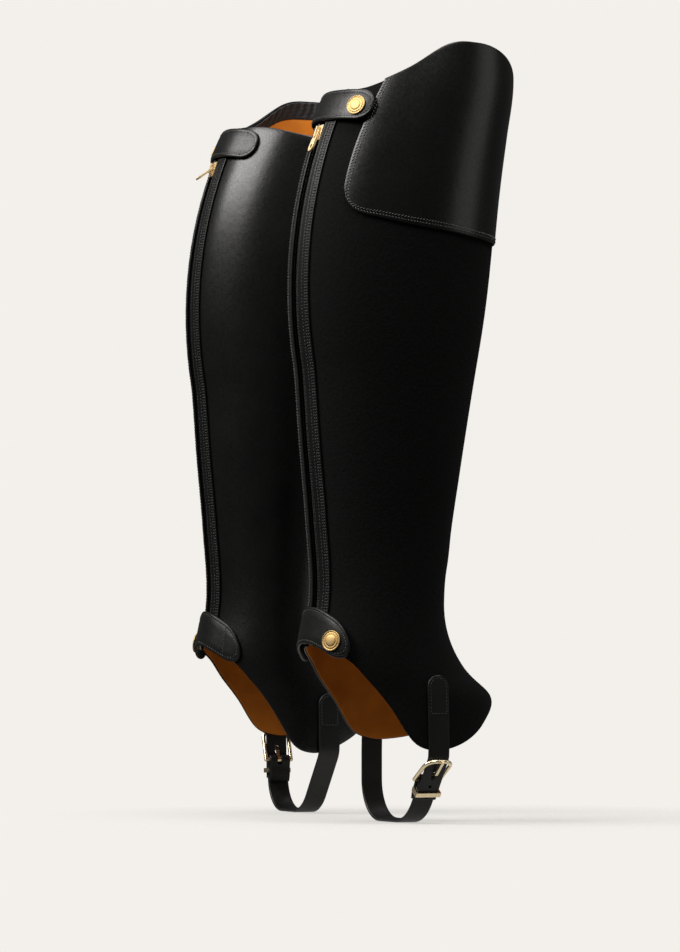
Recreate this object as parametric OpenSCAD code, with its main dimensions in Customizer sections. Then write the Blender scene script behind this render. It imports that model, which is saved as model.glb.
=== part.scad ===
// Pair of tall leather half chaps with a raised outer rim, closed by a zip down the back of the calf,
// two snap tabs across the zip and a buckled strap under the foot.
// Millimetres. +X points to the toes, +Y to the wearer's left, +Z up. The origin is on the ground,
// midway between the two chaps. Each chap is drawn in its own frame, in which +Y is the outer side.

/* [Pair] */
// Distance between the centre lines of the two chaps
pair_pitch = 215.5; // [205:0.5:240]
// How far the left chap stands ahead of the right one
stagger = 4; // [0:1:12]
// Angle by which each chap is turned toe-in
toe_in = 3.5; // [0:0.5:5]

/* [Leather] */
// Thickness of the leather panels
panel_t = 1.6; // [1.2:0.1:2]
// Thickness of the lining
lining_t = 0.9; // [0.6:0.1:1.2]
// Thickness of the knee patch and of the zip strips
patch_t = 1.1; // [0.8:0.1:1.3]
// Thickness of the two snap tabs
tab_t = 2.2; // [1.8:0.1:2.6]

/* [Zip] */
// Clear width between the two zip strips
zip_gap = 8.6; // [8.2:0.1:9.4]
// Width of each zip strip
strip_w = 11.4; // [9:0.1:12]
// Width of the closed row of teeth
teeth_w = 5.4; // [4:0.1:5.6]
// Height of the slider above the ground when the zip is closed
slider_z = 453; // [430:1:455]

/* [Foot strap] */
// Width of the foot strap and of the billet
strap_w = 15; // [14:0.1:15.2]
// Thickness of the foot strap and of the billet
strap_t = 2.2; // [1.8:0.1:2.2]
// Distance of the strap's middle ahead of the chap's origin
strap_x = 13; // [8:0.5:16]

/* [Snaps] */
// Diameter of the domed snap caps
cap_d = 13.5; // [12:0.5:14]

/* [Hidden] */
SIDES = ["left", "right"];
PIECES = ["outer_panel", "inner_panel", "knee_patch", "outer_lining", "inner_lining", "rim_facing",
    "outer_zip_strip", "inner_zip_strip", "zip_tape", "zip_teeth", "zip_stops", "snap_studs", "foot_strap",
    "billet", "top_tab_anchor", "lower_tab_anchor", "top_tab", "top_snap_cap", "top_snap_socket",
    "lower_tab", "lower_snap_cap", "lower_snap_socket", "zip_slider", "zip_pull", "buckle_frame",
    "buckle_prong", "strap_keeper"];
$fn = 48;

// The leg shape: rows of [height, distance ahead of the origin] or [height, half width].
FRONT = [[45, 61], [65, 70], [84, 71], [98, 55], [112, 45], [138, 37.5], [175, 40.5], [230, 49],
    [290, 59.5], [350, 69], [410, 75.5], [455, 81.5], [490, 86], [520, 84]];
HALF_WIDTH = [[45, 50.5], [84, 49], [112, 46.5], [138, 44], [175, 43], [230, 46], [290, 50],
    [350, 54], [410, 56.5], [455, 57], [490, 56], [520, 53]];
HEEL = [[40, -54], [110, -57], [145, -51], [200, -53.5], [250, -58]];
// The calf's back line is an arc, so that the zip's slider can run along it.
calf_r = 303;
calf_x = 237;
calf_z = 350;
calf_start_z = 300;
// Heights of the upper and lower edges: rows of [angle round the leg, height], angle 0 at the back,
// positive on the outer side and 180 at the front.
RIM = [[-180, 478], [-150, 471], [-115, 467], [-75, 473], [-40, 480.5], [0, 482], [35, 483], [55, 493],
    [75, 509], [98, 511.5], [125, 507], [155, 494], [180, 478]];
HEM = [[0, 116], [30, 112], [50, 101], [65, 78], [80, 56], [95, 49.5], [110, 50.5], [130, 58], [150, 75],
    [165, 89], [180, 96], [195, 89]];
// How much higher than that the hem hangs at the middle of the outer and the inner side
HEM_SHIFT_LEFT = [4, -7];
HEM_SHIFT_RIGHT = [-1.5, 5];
// Lower edge and back edge of the knee patch, and the angle at which the back edge meets the rim
PATCH_LOW = [[37, 430], [39, 411], [44, 401], [55, 395.5], [75, 390.5], [97, 387], [120, 384], [180, 382]];
PATCH_BACK = [[380, 37], [432, 36.5], [462, 39], [486, 42], [520, 45]];
patch_rim_a = 43;

// Clearance between layers that follow the same curve, and between layers that are glued face to face
layer_gap = 0.4;
glue_gap = 0.05;
panel_start = zip_gap / 2 + 0.2;
strip_s = layer_gap;
tape_s = -panel_t - 0.7;
tape_t = 0.6;
tape_half = 11;
lining_s = -panel_t - glue_gap;
facing_t = 1.4;
// Divisions of a panel round the leg and up the leg; the upward ones grow from the hem to the rim
columns = 16;
rows = 19;
row_growth = 1.3;
// Share of the height below the elastic band
band_share = 0.975;
bottom_z = strap_t / 2;

// Snap tabs: rows of [angle, gap between the leg surface and the tab's inner face]
TAB_LIFT = [[-60, 0.85], [-31, 0.85], [-21, 2.05], [18, 2.2], [30, 3.15], [60, 3.15]];
seam_gap = 0.4;
// [seam angle, inner end angle, free end angle, snap angle, middle height, droop, half height,
// distance of the snap below the middle line]
TOP_TAB = [-29, -41, 43, 32, 470, 4, 10, 1];
LOWER_TAB = [-33, -50, 46.5, 32.5, 129, 14, 12, 2.5];
stud_base_t = 0.5;
socket_t = 1.4;
socket_gap = 0.7;
socket_r = 4.7;
cap_gap = 0.1;

// Buckle, in a frame on the billet's middle line at the heel bar: X across, Y down the strand, Z outwards
bar_d = 2.8;
wire_d = 2.6;
layer_step = strap_t + 0.25;
frame_reach = 21;
frame_rise = 8.45;
frame_half_w = strap_w / 2 + 1.8;
corner_r = 6.5;
wrap_r = bar_d / 2 + 0.1 + strap_t / 2;
bar_n = -layer_step - wrap_r;
keeper_from_bar = 7.6;
keeper_w = 3.2;
keeper_t = 1.1;
fold_s = -layer_step - strap_t - keeper_t - 0.7;
prong_r = 0.95;
PRONG = [[0, bar_n], [-6.3, -2.6], [-10.2, 3.2], [-23.5, 6.6]];

// Strap route of each side: [top of the outer strand, its foot, fillet, inner foot, fillet, inner hem point,
// distance from the strand's top to the heel bar, forward lean per millimetre towards the inner side]
ROUTE_LEFT = [[49.3, 58], [47.3, bottom_z], 24, [-16.5, bottom_z], 32, [-51.6, 42.5], 22, 0.075];
ROUTE_RIGHT = [[50.2, 46], [16.5, bottom_z], 32, [-51.9, bottom_z], 26, [-51.9, 46], 23, 0];

// Smooth curve through rows [t, value, ...]
function segment(tab, t, i = 0) = i >= len(tab) - 2 || t < tab[i + 1][0] ? i : segment(tab, t, i + 1);
function chord(tab, i) = (tab[i + 1][1] - tab[i][1]) / (tab[i + 1][0] - tab[i][0]);
function slope(tab, i) =
    i == 0 ? chord(tab, 0)
    : i == len(tab) - 1 ? chord(tab, i - 1)
    : let (before = tab[i][0] - tab[i - 1][0], after = tab[i + 1][0] - tab[i][0])
        (chord(tab, i - 1) * after + chord(tab, i) * before) / (before + after);
function smooth(tab, t) =
    let (i = segment(tab, t), h = tab[i + 1][0] - tab[i][0], s = (t - tab[i][0]) / h)
    (2 * s ^ 3 - 3 * s ^ 2 + 1) * tab[i][1] + (s ^ 3 - 2 * s ^ 2 + s) * h * slope(tab, i)
    + (3 * s ^ 2 - 2 * s ^ 3) * tab[i + 1][1] + (s ^ 3 - s ^ 2) * h * slope(tab, i + 1);
function unit(v) = v / norm(v);
function mix(a, b, t) = a + (b - a) * t;

// Leg surface at an angle and a height, and at a distance s outside it
function calf_back(z) = calf_x - sqrt(calf_r ^ 2 - (z - calf_z) ^ 2);
BACK = concat(HEEL, [[calf_start_z, calf_back(calf_start_z)], [calf_start_z + 30, calf_back(calf_start_z + 30)]]);
function back_x(z) = z >= calf_start_z ? calf_back(z) : smooth(BACK, z);
function half_w(z) = smooth(HALF_WIDTH, z);
function leg(phi, z) =
    let (xb = back_x(z), xf = smooth(FRONT, z))
    [(xb + xf) / 2 - (xf - xb) / 2 * cos(phi), half_w(z) * sin(phi), z];
function leg_normal(phi, z) = unit(cross(leg(phi, z + 1) - leg(phi, z - 1), leg(phi + 1, z) - leg(phi - 1, z)));
function skin(phi, z, s = 0) = leg(phi, z) + s * leg_normal(phi, z);
// The angle of the point that lies d sideways from the back line
function sideways(d, z) = asin(d / half_w(z));
function rim_z(phi) = smooth(RIM, phi);
function hem_z(side, phi) =
    let (shift = side == "left" ? HEM_SHIFT_LEFT : HEM_SHIFT_RIGHT)
    smooth(HEM, abs(phi)) + (phi > 0 ? shift[0] : shift[1]) * sin(phi) ^ 4;

// Closed solid between two grids of points that have the same rows and columns
module between(outer, inner) {
    nr = len(outer);
    nc = len(outer[0]);
    n = nr * nc;
    function at(k, i, j) = k * n + i * nc + j;
    faces = concat(
        [for (i = [0:nr - 2]) for (j = [0:nc - 2]) each [
            [at(0, i, j), at(0, i + 1, j), at(0, i + 1, j + 1)], [at(0, i, j), at(0, i + 1, j + 1), at(0, i, j + 1)],
            [at(1, i, j), at(1, i + 1, j + 1), at(1, i + 1, j)], [at(1, i, j), at(1, i, j + 1), at(1, i + 1, j + 1)]]],
        [for (i = [0:nr - 2]) each [
            [at(0, i, 0), at(1, i, 0), at(1, i + 1, 0)], [at(0, i, 0), at(1, i + 1, 0), at(0, i + 1, 0)],
            [at(0, i, nc - 1), at(1, i + 1, nc - 1), at(1, i, nc - 1)],
            [at(0, i, nc - 1), at(0, i + 1, nc - 1), at(1, i + 1, nc - 1)]]],
        [for (j = [0:nc - 2]) each [
            [at(0, 0, j), at(1, 0, j + 1), at(1, 0, j)], [at(0, 0, j), at(0, 0, j + 1), at(1, 0, j + 1)],
            [at(0, nr - 1, j), at(1, nr - 1, j), at(1, nr - 1, j + 1)],
            [at(0, nr - 1, j), at(1, nr - 1, j + 1), at(0, nr - 1, j + 1)]]]);
    polyhedron(concat([for (row = outer) each row], [for (row = inner) each row]), faces, convexity = 6);
}

// One point of the shared panel grid: column c of 0..columns, row r of 0..rows + 1, on the outer (sign 1) or
// the inner (sign -1) side
function panel_phi(c, z) = mix(sideways(panel_start, z), 180, c / columns);
function panel_point(side, sign, c, r, s) =
    let (phi_mid = sign * panel_phi(c, calf_z), share = r > rows ? 1 : band_share * (r / rows) ^ row_growth,
        z = mix(hem_z(side, phi_mid), rim_z(phi_mid), share))
    skin(sign * panel_phi(c, z), z, s);
// The grids run from the column c0 to the front, and those of both sides wind alike
function outer_grid(side, c0, r0, r1, s) =
    [for (r = [r0:r1]) [for (c = [c0:columns]) panel_point(side, 1, c, r, s)]];
function inner_grid(side, c0, s) =
    [for (r = [0:rows + 1]) [for (c = [columns:-1:c0]) panel_point(side, -1, c, r, s)]];

// Strip that follows the back line between the sideways distances d0 and d1 and the heights z0 and z1
module back_strip(d0, d1, s0, s1, z0, z1, steps = 22, across = 2) {
    function grid(s) = [for (i = [0:steps]) [for (j = [0:across])
        let (z = mix(z0, z1, i / steps)) skin(sideways(mix(d0, d1, j / across), z), z, s)]];
    between(grid(s1), grid(s0));
}

// Points of a fillet of radius r at the corner b between a and c
function fillet(a, b, c, r, steps = 9) =
    let (u = unit(a - b), v = unit(c - b), half = acos(u * v) / 2, centre = b + unit(u + v) * r / sin(half),
        start = b + u * r / tan(half) - centre, turn = (180 - 2 * half) * sign(u[0] * v[1] - u[1] * v[0]))
    [for (i = [0:steps]) let (t = -turn * i / steps)
        centre + [start[0] * cos(t) - start[1] * sin(t), start[0] * sin(t) + start[1] * cos(t)]];
// Closed outline of a ribbon of thickness t about a line of points
function ribbon_normal(p, i) =
    let (d = unit(p[min(i + 1, len(p) - 1)] - p[max(i - 1, 0)])) [-d[1], d[0]];
function ribbon(p, t) = concat(
    [for (i = [0:len(p) - 1]) p[i] + ribbon_normal(p, i) * t / 2],
    [for (i = [len(p) - 1:-1:0]) p[i] - ribbon_normal(p, i) * t / 2]);
// Draws a flat outline of the plane of Y and Z across the strap's width
module across_strap() {
    translate([strap_x - strap_w / 2, 0, 0])
        rotate([90, 0, 90])
            linear_extrude(strap_w)
                children();
}
// Everything below the height z, with a round top as wide as the strap, on one side of the chap
module round_topped(z, side) {
    r = strap_w / 2;
    rotate([90, 0, 0])
        translate([0, 0, side > 0 ? -80 : 0])
            linear_extrude(80) {
                translate([strap_x, z - r])
                    circle(r);
                translate([strap_x - r, -5])
                    square([strap_w, z - r + 5]);
            }
}

// Places a child, drawn about +Z, on the leg surface with +Z along the surface's normal
module on_skin(phi, z, s) {
    n = leg_normal(phi, z);
    translate(skin(phi, z, s))
        rotate([0, acos(n[2]), atan2(n[1], n[0])])
            children();
}

function route(side) = side == "left" ? ROUTE_LEFT : ROUTE_RIGHT;
function strand_dir(side) = unit(route(side)[1] - route(side)[0]);
function strand_out(side) = let (u = strand_dir(side)) [-u[1], u[0]];
// Point of the YZ plane at a distance y down the strand from the heel bar and z outwards from the billet
function strand_point(side, y, z) =
    route(side)[0] + strand_dir(side) * (route(side)[6] + y) + strand_out(side) * (layer_step + z);
module at_buckle(side) {
    u = strand_dir(side);
    translate([strap_x, each strand_point(side, 0, 0)])
        rotate([atan2(u[1], u[0]), 0, 0])
            children();
}

// Outline of a snap tab: half height at an angle, with round ends
function tab_half(tab, phi) =
    let (round = tab[6] / half_w(tab[4]) * 57.3,
        from_end = min(tab[2] - phi, phi - tab[1]),
        k = max(0, 1 - from_end / round))
    tab[6] * sqrt(max(0.03, 1 - k ^ 2));
function tab_mid(tab, phi) = tab[4] - tab[5] * (1 - cos(2 * phi));
function snap_height(tab) = tab_mid(tab, tab[3]) - tab[7];
module tab_piece(tab, phi0, phi1, steps) {
    function grid(s) = [for (r = [-1:1]) [for (i = [0:steps])
        let (phi = mix(phi0, phi1, i / steps), z = tab_mid(tab, phi) + r * tab_half(tab, phi))
        skin(phi, z, smooth(TAB_LIFT, phi) + s)]];
    between(grid(tab_t), grid(0));
}

// Profile of a shallow dome of radius r and height h on a rim of height e
module dome(r, h, e) {
    steps = 8;
    rotate_extrude()
        polygon(concat([[0, 0], [r, 0]],
            [for (i = [0:steps]) let (a = 90 * i / steps) [r * cos(a), e + h * sin(a)]]));
}
// Sector of a ring about the calf arc's axis: radial distances s0..s1 from the back line, widths y0..y1,
// arc angles a0..a1
module calf_sector(s0, s1, y0, y1, a0, a1) {
    translate([calf_x, 0, calf_z])
        rotate([90, 0, 0])
            rotate([0, 0, 180 - a1])
                rotate_extrude(angle = a1 - a0)
                    translate([calf_r + s0, -y1])
                        square([s1 - s0, y1 - y0]);
}
// Suede panel of the outer side
module outer_panel(side) {
    color("#343434")
        between(outer_grid(side, 0, 0, rows + 1, 0), outer_grid(side, 0, 0, rows + 1, -panel_t));
}
// Smooth leather panel of the inner side
module inner_panel(side) {
    color("#262626")
        between(inner_grid(side, 0, 0), inner_grid(side, 0, -panel_t));
}

// Smooth leather that covers the outer side of the knee and the raised rim
module knee_patch() {
    across = concat([0, 0.008, 0.022], [for (i = [1:22]) i / 22]);
    function point(t, v, s) =
        let (mid = mix(37, 180, t), z = mix(smooth(PATCH_LOW, mid), rim_z(mix(patch_rim_a, 180, t)), v),
            phi = mix(smooth(PATCH_BACK, z), 179.5, t))
        skin(phi, z, s);
    function grid(s) = [for (i = [0:8]) [for (t = across) point(t, i / 8, s)]];
    color("#2c2c2c")
        between(grid(layer_gap + patch_t), grid(layer_gap));
}
// Tan leather lining, which reaches up to the elastic band on the outer side and to the rim on the inner side
module outer_lining(side) {
    color("#c08a3e")
        between(outer_grid(side, 1, 0, rows, lining_s), outer_grid(side, 1, 0, rows, lining_s - lining_t));
}
module inner_lining(side) {
    color("#c08a3e")
        between(inner_grid(side, 1, lining_s), inner_grid(side, 1, lining_s - lining_t));
}
// Gathered elastic band inside the raised rim
module rim_facing(side) {
    color("#202020")
        between(outer_grid(side, 1, rows, rows + 1, lining_s),
            outer_grid(side, 1, rows, rows + 1, lining_s - facing_t));
}
module outer_zip_strip() {
    color("#3c3c3c")
        back_strip(zip_gap / 2, zip_gap / 2 + strip_w, strip_s, strip_s + patch_t, 117, 481);
}
module inner_zip_strip() {
    color("#3c3c3c")
        back_strip(-zip_gap / 2 - strip_w, -zip_gap / 2, strip_s, strip_s + patch_t, 117, 481);
}
module zip_tape() {
    color("#181818")
        back_strip(-tape_half, tape_half, tape_s - tape_t, tape_s, 117.5, 480, 22, 3);
}
module zip_teeth() {
    color("#1c1c1c")
        back_strip(-teeth_w / 2, teeth_w / 2, tape_s, -0.2, 119.5, 459.5);
}
// Metal staples that end the row of teeth
module zip_stops() {
    color("#c9a24e")
        for (z = [118.2, 461])
            on_skin(0, z, tape_s)
                translate([-1, -teeth_w / 2, 0])
                    cube([2, teeth_w, 1.8]);
}
// The two studs that the tabs snap onto
module snap_studs() {
    color("#c9a24e")
        for (tab = [TOP_TAB, LOWER_TAB])
            on_skin(tab[3], snap_height(tab), layer_gap) {
                cylinder(r = 4.4, h = stud_base_t);
                cylinder(r = 1.7, h = 2.1);
                translate([0, 0, 1.6])
                    cylinder(r = 2, h = 0.5);
            }
}
module snap_cap(tab) {
    phi = tab[3];
    color("#d8b25a")
        on_skin(phi, snap_height(tab), smooth(TAB_LIFT, phi) + tab_t + cap_gap)
            dome(cap_d / 2, 1.3, 0.7);
}
module snap_socket(tab) {
    phi = tab[3];
    color("#c9a24e")
        on_skin(phi, snap_height(tab), smooth(TAB_LIFT, phi) - socket_t - socket_gap)
            difference() {
                cylinder(r = socket_r, h = socket_t);
                translate([0, 0, -1])
                    cylinder(r = 3.1, h = socket_t + 2);
            }
}
// The part of a tab that is sewn down, and the part that swings from the seam
module tab_anchor(tab) {
    color("#2a2a2a")
        tab_piece(tab, tab[1], tab[0] - seam_gap, 6);
}
module tab_flap(tab) {
    color("#303030")
        tab_piece(tab, tab[0] + seam_gap, tab[2], 24);
}

// Leans a strap forwards towards the inner side, by the route's last value
module leaning(side) {
    lean = route(side)[7];
    if (lean == 0)
        children();
    else
        multmatrix([[1, -lean, 0, lean * route(side)[0][0]], [0, 1, 0, 0], [0, 0, 1, 0], [0, 0, 0, 1]])
            children();
}
// Strap sewn to the inner panel, led under the foot and folded round the buckle's heel bar
module foot_strap(side) {
    way = route(side);
    heel = strand_point(side, 0, -layer_step);
    top_z = 84;
    hem_corner = way[5];
    inner_top = [-half_w(top_z) - layer_gap - strap_t / 2, top_z];
    fold = [for (b = [205:-17:18]) strand_point(side, -wrap_r * sin(b), bar_n + wrap_r * cos(b))];
    line = concat(
        [strand_point(side, 11, fold_s), strand_point(side, 4.2, fold_s)],
        fold,
        [heel],
        fillet(heel, way[1], way[3], way[2]),
        fillet(way[1], way[3], hem_corner, way[4]),
        fillet(way[3], hem_corner, inner_top, 12, 5),
        [inner_top]);
    color("#2a2a2a")
        difference() {
            intersection() {
                leaning(side)
                    across_strap() {
                        polygon(ribbon(line, strap_t));
                        polygon(ribbon([strand_point(side, 9, fold_s), strand_point(side, 11, fold_s),
                            strand_point(side, 16.5, -2 * layer_step + 1)], strap_t - 0.1));
                    }
                leaning(side)
                    union() {
                        round_topped(top_z, -1);
                        translate([strap_x - strap_w / 2, -10, -5])
                            cube([strap_w, 75, 90]);
                    }
            }
            at_buckle(side)
                translate([-1.8, -5, bar_n - 5])
                    cube([3.6, 8.5, 9]);
        }
}
// Strap end with holes, sewn to the outer panel, that hangs through the buckle
module billet(side) {
    way = route(side);
    top_z = 97;
    on_panel = [for (z = [top_z, 85, 72, way[0][1] + 5]) [half_w(z) + layer_gap + strap_t / 2, z]];
    tail = strand_point(side, 13, 0);
    start = strand_point(side, -frame_reach - 0.5, 0);
    line = concat(on_panel, [start, tail]);
    color("#333333")
        difference() {
            intersection() {
                across_strap()
                    polygon(ribbon(line, strap_t));
                round_topped(top_z, 1);
            }
            at_buckle(side) {
                for (y = [-9.1, -5.9])
                    translate([0, y, -3])
                        cylinder(r = 1.5, h = 6);
                translate([-1.5, -9.1, -3])
                    cube([3, 3.2, 6]);
                for (y = [1.5, 10.5])
                    translate([0, y, -3])
                        cylinder(r = 1.2, h = 6);
            }
        }
}

// Saddle that rides over the teeth, with an arch that holds the pull
slider_a = asin((slider_z - calf_z) / calf_r);
slider_half_a = 5.5 / calf_r * 57.3;
module zip_slider() {
    half_w = zip_gap / 2 - 0.35;
    a0 = slider_a - slider_half_a;
    a1 = slider_a + slider_half_a;
    post_a = 1.2 / calf_r * 57.3;
    arch_a = 3.6 / calf_r * 57.3;
    color("#d4ac55") {
        calf_sector(0.15, 1.5, -half_w, half_w, a0, a1);
        for (y = [-half_w, half_w - 1])
            calf_sector(-1.2, 0.3, y, y + 1, a0, a1);
        calf_sector(3.4, 4.2, -1.1, 1.1, slider_a - arch_a, slider_a + arch_a);
        for (a = [slider_a - arch_a, slider_a + arch_a - post_a])
            calf_sector(1.4, 3.5, -1.1, 1.1, a, a + post_a);
    }
}
// Centre of the pull's cross bar above the back line, and the angle between the hanging pull and the leg
pull_s = 2.45;
pull_len = 14;
pull_w = 6.4;
function pull_a(side) = side == "left" ? 35 : 4;
module zip_pull(side) {
    bar_r = 0.65;
    end_r = pull_w / 2;
    arm_w = 1.2;
    plate_start = 4.6;
    color("#d8b25a")
        translate([calf_x, 0, calf_z])
            rotate([0, slider_a, 0])
                translate([-calf_r - pull_s, 0, 0])
                    rotate([0, pull_a(side), 0]) {
                        rotate([90, 0, 0])
                            cylinder(r = bar_r, h = 5.6, center = true);
                        for (y = [-2.8, 2.8 - arm_w])
                            translate([-bar_r, y, -plate_start - 1])
                                cube([2 * bar_r, arm_w, plate_start + 1]);
                        difference() {
                            union() {
                                translate([-bar_r, -end_r, -pull_len + end_r])
                                    cube([2 * bar_r, pull_w, pull_len - end_r - plate_start]);
                                translate([-bar_r, 0, -pull_len + end_r])
                                    rotate([0, 90, 0])
                                        cylinder(r = end_r, h = 2 * bar_r);
                            }
                            translate([-2, 0, -pull_len + end_r + 0.3])
                                rotate([0, 90, 0])
                                    cylinder(r = 1.5, h = 4);
                        }
                    }
}

// D-shaped brass frame that turns on its own heel bar
module buckle_frame(side) {
    reach = norm([frame_reach, frame_rise]);
    leg_len = reach - corner_r;
    r = wire_d / 2;
    color("#d8b25a")
        at_buckle(side)
            translate([0, 0, bar_n])
                rotate([-atan2(frame_rise, frame_reach), 0, 0])
                    mirror([0, 1, 0]) {
                        translate([-frame_half_w, 0, 0])
                            rotate([0, 90, 0])
                                cylinder(r = bar_d / 2, h = 2 * frame_half_w);
                        for (k = [-1, 1]) {
                            translate([k * frame_half_w, 0, 0])
                                sphere(r = bar_d / 2);
                            translate([k * frame_half_w, 0, 0])
                                rotate([-90, 0, 0])
                                    cylinder(r = r, h = leg_len);
                            translate([k * (frame_half_w - corner_r), leg_len, 0])
                                rotate([0, 0, k > 0 ? 0 : 90])
                                    rotate_extrude(angle = 90)
                                        translate([corner_r, 0])
                                            circle(r);
                        }
                        translate([-(frame_half_w - corner_r), reach, 0])
                            rotate([0, 90, 0])
                                cylinder(r = r, h = 2 * (frame_half_w - corner_r));
                    }
}
// Tongue that turns on the heel bar, passes through the billet and rests on the frame
module buckle_prong(side) {
    line = concat([PRONG[0]], fillet(PRONG[0], PRONG[1], PRONG[2], 1.6, 4),
        fillet(PRONG[1], PRONG[2], PRONG[3], 1.6, 4), [PRONG[3]]);
    color("#d8b25a")
        at_buckle(side)
            difference() {
                union() {
                    translate([-1.3, PRONG[0][0], bar_n])
                        rotate([0, 90, 0])
                            cylinder(r = bar_d / 2 + 1.1, h = 2.6);
                    translate([-prong_r, 0, 0])
                        rotate([90, 0, 90])
                            linear_extrude(2 * prong_r)
                                polygon(ribbon(line, 2 * prong_r));
                }
                translate([-3, 0, bar_n])
                    rotate([0, 90, 0])
                        cylinder(r = bar_d / 2 + 0.1, h = 6);
            }
}
// Brass loop that holds the billet's tail against the strap
module strap_keeper(side) {
    half_in = strap_w / 2 + 0.35;
    low_in = -layer_step - strap_t / 2 - 0.3;
    high_in = strap_t / 2 + 0.3;
    module ring_2d(out) {
        translate([-half_in - out, low_in - out])
            square([2 * (half_in + out), high_in - low_in + 2 * out]);
    }
    color("#d8b25a")
        at_buckle(side)
            translate([0, keeper_from_bar + keeper_w / 2, 0])
                rotate([90, 0, 0])
                    linear_extrude(keeper_w)
                        difference() {
                            ring_2d(keeper_t);
                            ring_2d(0);
                        }
}

// Moves a chap from its own frame to its place in the pair; the right one is the left one's mirror image
module stand(side) {
    if (side == "left")
        translate([stagger / 2, pair_pitch / 2, 0])
            rotate([0, 0, -toe_in])
                children();
    else
        translate([-stagger / 2, -pair_pitch / 2, 0])
            rotate([0, 0, toe_in])
                mirror([0, 1, 0])
                    children();
}

for (side = SIDES) {
    stand(side) outer_panel(side);
    stand(side) inner_panel(side);
    stand(side) knee_patch();
    stand(side) outer_lining(side);
    stand(side) inner_lining(side);
    stand(side) rim_facing(side);
    stand(side) outer_zip_strip();
    stand(side) inner_zip_strip();
    stand(side) zip_tape();
    stand(side) zip_teeth();
    stand(side) zip_stops();
    stand(side) snap_studs();
    stand(side) foot_strap(side);
    stand(side) billet(side);
    stand(side) tab_anchor(TOP_TAB);
    stand(side) tab_anchor(LOWER_TAB);
    stand(side) tab_flap(TOP_TAB);
    stand(side) snap_cap(TOP_TAB);
    stand(side) snap_socket(TOP_TAB);
    stand(side) tab_flap(LOWER_TAB);
    stand(side) snap_cap(LOWER_TAB);
    stand(side) snap_socket(LOWER_TAB);
    stand(side) zip_slider();
    stand(side) zip_pull(side);
    stand(side) buckle_frame(side);
    stand(side) buckle_prong(side);
    stand(side) strap_keeper(side);
}
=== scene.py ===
"""Looks of a pair of tall black leather half chaps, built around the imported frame.

Every shape is worked out from the same leg surface as the frame: an angle round the leg (0 at the back,
positive on the outer side, 180 at the front), a height above the ground and a distance outside the surface.
The leg surface is in millimetres in each chap's own frame, and place() moves it to the pair in metres.
"""

import math

import bmesh
import bpy
import numpy as np
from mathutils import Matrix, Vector


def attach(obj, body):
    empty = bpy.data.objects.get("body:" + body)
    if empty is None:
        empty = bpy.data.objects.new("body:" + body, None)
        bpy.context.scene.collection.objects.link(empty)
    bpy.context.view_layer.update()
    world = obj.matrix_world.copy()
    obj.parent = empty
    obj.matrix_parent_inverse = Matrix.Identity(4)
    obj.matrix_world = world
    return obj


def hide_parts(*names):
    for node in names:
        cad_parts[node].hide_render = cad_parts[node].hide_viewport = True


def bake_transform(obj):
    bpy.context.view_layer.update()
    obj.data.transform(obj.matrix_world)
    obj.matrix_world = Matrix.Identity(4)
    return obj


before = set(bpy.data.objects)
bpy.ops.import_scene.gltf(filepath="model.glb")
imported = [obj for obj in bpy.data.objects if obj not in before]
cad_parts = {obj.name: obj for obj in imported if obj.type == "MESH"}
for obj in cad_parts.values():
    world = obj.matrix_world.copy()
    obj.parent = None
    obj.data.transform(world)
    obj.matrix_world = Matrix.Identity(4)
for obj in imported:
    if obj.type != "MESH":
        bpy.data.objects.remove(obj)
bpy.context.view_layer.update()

SIDES = ("left", "right")
MM = 0.001

# ---------------------------------------------------------------- the leg surface, in millimetres
PAIR_PITCH = 215.5
STAGGER = 4
TOE_IN = math.radians(3.5)
FRONT = [[45, 61], [65, 70], [84, 71], [98, 55], [112, 45], [138, 37.5], [175, 40.5], [230, 49],
         [290, 59.5], [350, 69], [410, 75.5], [455, 81.5], [490, 86], [520, 84]]
HALF_WIDTH = [[45, 50.5], [84, 49], [112, 46.5], [138, 44], [175, 43], [230, 46], [290, 50],
              [350, 54], [410, 56.5], [455, 57], [490, 56], [520, 53]]
CALF_R = 303
CALF_X = 237
CALF_Z = 350
CALF_START_Z = 300
RIM = [[-180, 478], [-150, 471], [-115, 467], [-75, 473], [-40, 480.5], [0, 482], [35, 483],
       [55, 493], [75, 509], [98, 511.5], [125, 507], [155, 494], [180, 478]]
HEM = [[0, 116], [30, 112], [50, 101], [65, 78], [80, 56], [95, 49.5], [110, 50.5], [130, 58],
       [150, 75], [165, 89], [180, 96], [195, 89]]
HEM_SHIFT = {"left": (4, -7), "right": (-1.5, 5)}
PATCH_LOW = [[37, 427], [37.15, 419], [37.8, 412.3], [40, 406], [43.4, 401], [48, 397.6], [53.3, 395.6],
             [59, 394.3], [75, 390.5], [97, 387], [120, 384], [180, 382]]
PATCH_BACK = [[380, 37], [432, 36.5], [462, 39], [486, 42], [520, 45]]
PATCH_RIM_A = 43
PATCH_START_A = 37
PATCH_END_A = 179.5
# The lining starts at this share of the way from the zip to the front
LINING_START = 1 / 16
PANEL_T = 1.6
LINING_T = 0.9
PATCH_T = 1.1
TAB_T = 2.2
LAYER_GAP = 0.4
GLUE_GAP = 0.05
ZIP_GAP = 8.6
STRIP_W = 11.4
TAPE_S = -PANEL_T - 0.7
TAPE_T = 0.6
TAPE_HALF = 11
TAPE_ENDS = (117.5, 480)
STRIP_ENDS = (117, 481)
PANEL_START = ZIP_GAP / 2 + 0.2
BAND_SHARE = 0.975
TAB_LIFT = [[-60, 0.85], [-31, 0.85], [-21, 2.05], [18, 2.2], [30, 3.15], [60, 3.15]]
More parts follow.
